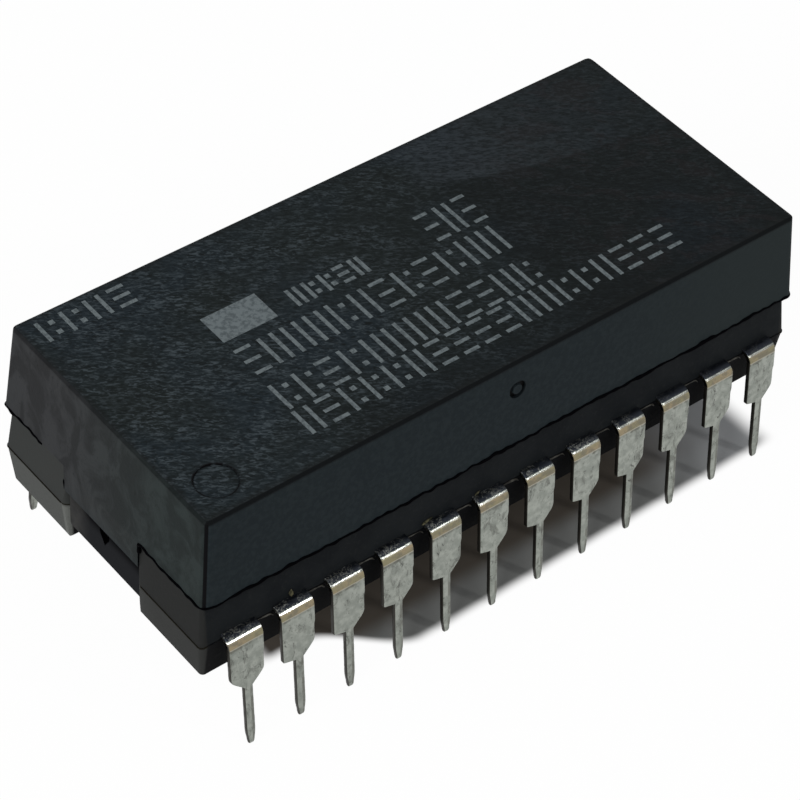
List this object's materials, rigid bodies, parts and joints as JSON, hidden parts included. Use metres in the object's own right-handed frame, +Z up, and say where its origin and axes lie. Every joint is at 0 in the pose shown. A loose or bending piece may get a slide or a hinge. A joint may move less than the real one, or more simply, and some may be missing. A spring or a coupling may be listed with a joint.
{
  "type": "battery-backed clock ram chip",
  "caption": "Dual-in-line clock and memory module: a moulded base with formed through-hole leads in two rows and a tall moulded battery cap cemented on top.",
  "frame": {"origin": "middle of the lead grid, on the seating plane that the lead shoulders rest on", "axes": "+X along the lead rows from the lead 1 end, +Y from the lead 1 row to the far row, +Z up out of the board, towards the cap's top"},
  "size_m": [0.0316, 0.0162, 0.0126],
  "materials": {
    "tinned_lead": "tin-dipped, dull bright",
    "base_moulding": "matte moulding compound",
    "cap_moulding": "matte moulded plastic",
    "potting": "smooth cast resin",
    "lead_frame": "rolled strip",
    "silicon": "polished wafer",
    "gold_wire": "bright drawn wire",
    "cell_steel": "nickel-plated",
    "nickel_tab": "bright strip",
    "crystal_steel": "nickel-plated",
    "crystal_wire": "tinned wire"
  },
  "bodies": {
    "root": {"lead_01": "tinned_lead", "lead_02": "tinned_lead", "lead_03": "tinned_lead", "lead_04": "tinned_lead", "lead_05": "tinned_lead", "lead_06": "tinned_lead", "lead_07": "tinned_lead", "lead_08": "tinned_lead", "lead_09": "tinned_lead", "lead_10": "tinned_lead", "lead_11": "tinned_lead", "lead_12": "tinned_lead", "lead_13": "tinned_lead", "lead_14": "tinned_lead", "lead_15": "tinned_lead", "lead_16": "tinned_lead", "lead_17": "tinned_lead", "lead_18": "tinned_lead", "lead_19": "tinned_lead", "lead_20": "tinned_lead", "lead_21": "tinned_lead", "lead_22": "tinned_lead", "lead_23": "tinned_lead", "lead_24": "tinned_lead", "base_body": "base_moulding", "battery_cap": "cap_moulding", "potting_compound": "potting", "die_paddle": "lead_frame", "silicon_die": "silicon", "bond_wires": "gold_wire", "battery_terminal_positive": "lead_frame", "battery_terminal_negative": "lead_frame", "crystal_terminal_a": "lead_frame", "crystal_terminal_b": "lead_frame", "button_cell": "cell_steel", "battery_tab_positive": "nickel_tab", "battery_tab_negative": "nickel_tab", "crystal_can": "crystal_steel", "crystal_lead_a": "crystal_wire", "crystal_lead_b": "crystal_wire"}
  },
  "joints": []
}
